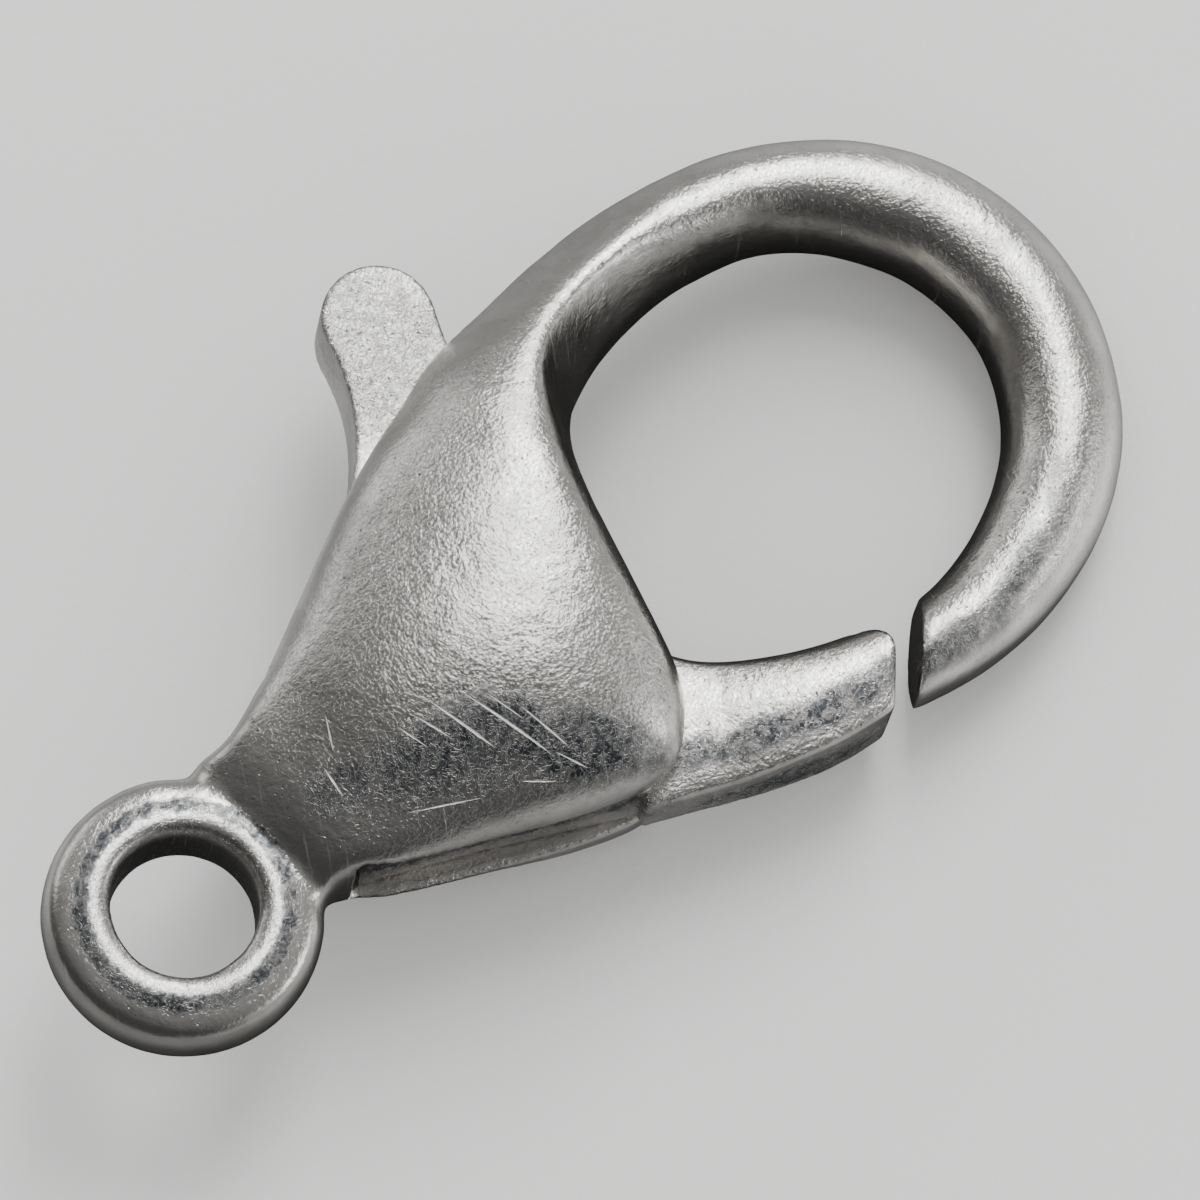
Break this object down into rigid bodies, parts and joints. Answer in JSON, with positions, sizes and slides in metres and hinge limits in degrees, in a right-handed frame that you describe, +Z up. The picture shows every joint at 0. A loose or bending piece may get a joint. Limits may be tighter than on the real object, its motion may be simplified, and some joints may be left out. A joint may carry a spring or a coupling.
{
  "type": "lobster clasp",
  "caption": "Lobster clasp with a ring eye, domed slotted body, hook and sprung lever gate that a thumb tab opens.",
  "frame": {"origin": "middle of the bounding box's underside, on the surface the clasp lies on", "axes": "+X from the ring towards the hook, +Y towards the thumb tab, +Z up from the floor; the clasp lies on its back cheek and on the underside of the hook, so its own plane leans about 9.6 degrees"},
  "size_m": [0.0118, 0.0066, 0.0029],
  "materials": {
    "body_plate": "worn silver plate over a zinc casting",
    "lever_plate": "worn silver plate over a zinc casting",
    "pin_plate": "plated with the body",
    "spring_steel": "plain spring steel"
  },
  "bodies": {
    "body": {"clasp_body": "body_plate", "pivot_pin": "pin_plate", "return_spring": "spring_steel"},
    "lever": {"gate_lever": "lever_plate"}
  },
  "joints": [
    {"name": "lever_hinge", "type": "hinge", "parent": "body", "child": "lever", "pos_m": [-0.00063, -0.00158, 0.0013], "axis": [0.124, -0.1075, 0.9864], "range_deg": [0, 25], "stiffness_Nm_per_rad": 0.000005, "springref_deg": -22.92, "deforming": ["return_spring"]}
  ]
}
